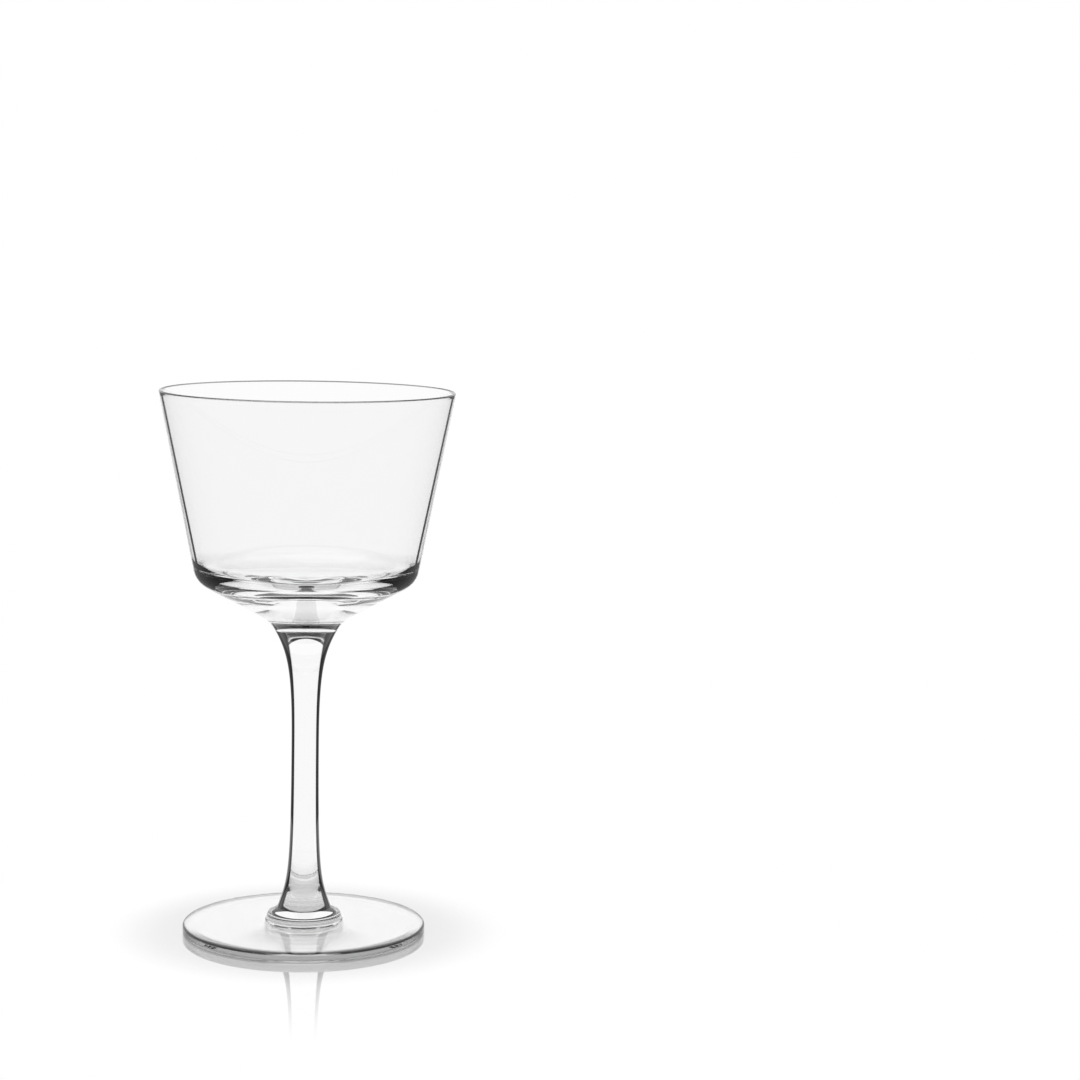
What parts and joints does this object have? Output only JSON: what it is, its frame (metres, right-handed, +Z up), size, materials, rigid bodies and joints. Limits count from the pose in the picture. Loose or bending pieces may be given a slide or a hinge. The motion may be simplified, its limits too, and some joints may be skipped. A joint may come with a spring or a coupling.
{
  "type": "nick and nora glass",
  "caption": "Clear cocktail glass with a straight tapering bowl, a drawn solid stem and a flat round foot.",
  "frame": {"origin": "centre of the foot's resting plane", "axes": "+Z up along the glass's own axis; the glass is round, so X and Y are free"},
  "size_m": [0.0802, 0.0802, 0.15],
  "materials": {
    "clear_glass": "fire-polished clear crystal glass, smooth and colourless"
  },
  "bodies": {
    "root": {"bowl": "clear_glass", "stem": "clear_glass", "foot": "clear_glass"}
  },
  "joints": []
}
